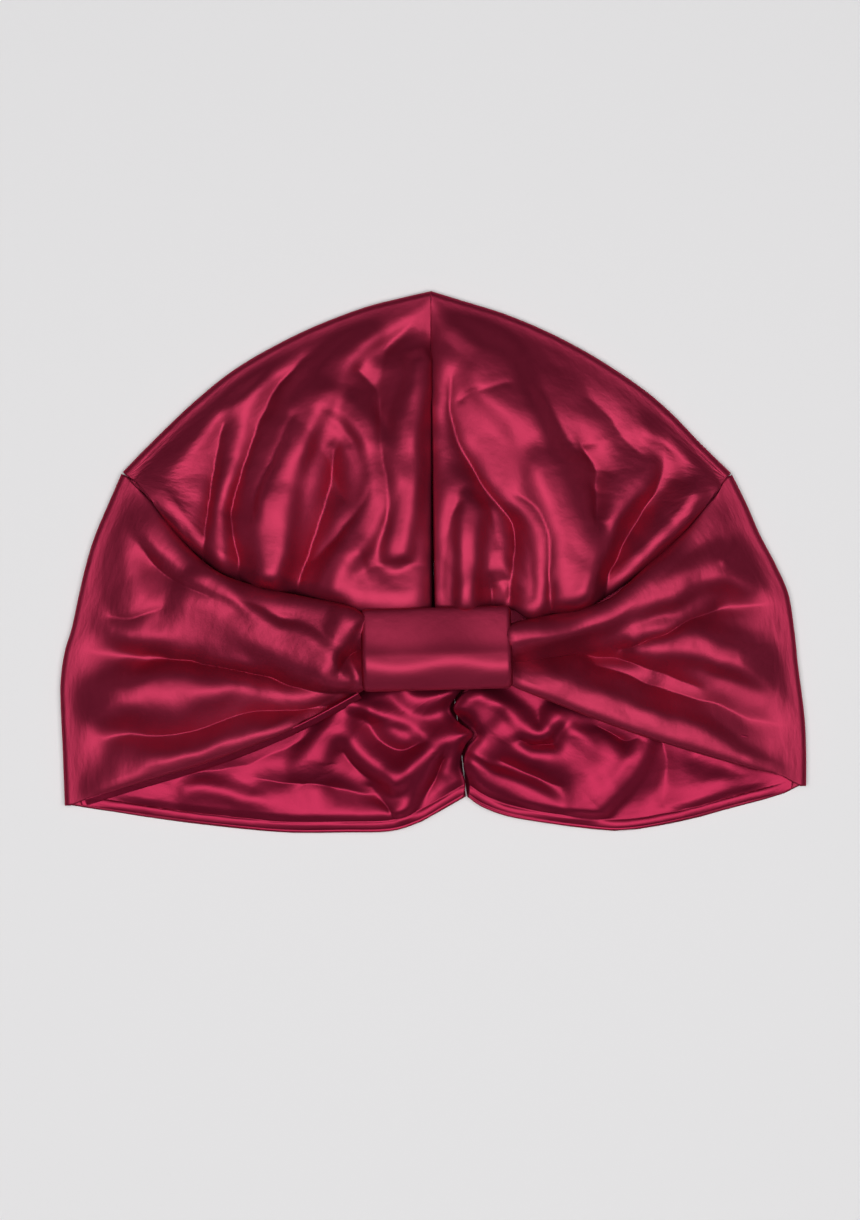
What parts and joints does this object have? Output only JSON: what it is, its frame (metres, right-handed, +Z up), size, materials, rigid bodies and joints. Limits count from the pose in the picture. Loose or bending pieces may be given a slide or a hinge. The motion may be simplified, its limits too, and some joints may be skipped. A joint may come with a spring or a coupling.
{
  "type": "sleep bonnet",
  "caption": "Turban style satin sleep bonnet, lying flat on its back, with a pleated front band gathered through a wrap loop.",
  "frame": {"origin": "middle of the bonnet's box, on the surface that it lies on", "axes": "+X across the bonnet, +Y from the nape hem to the top of the crown, +Z up, out of the front"},
  "size_m": [0.3001, 0.2183, 0.031],
  "materials": {
    "satin": "wine red satin, soft sheen",
    "satin_lining": "wine red satin lining"
  },
  "bodies": {
    "root": {"crown_left": "satin", "crown_right": "satin", "band_left": "satin", "band_right": "satin", "wrap": "satin", "lining_left": "satin_lining", "lining_right": "satin_lining", "lining_facing": "satin_lining"}
  },
  "joints": []
}
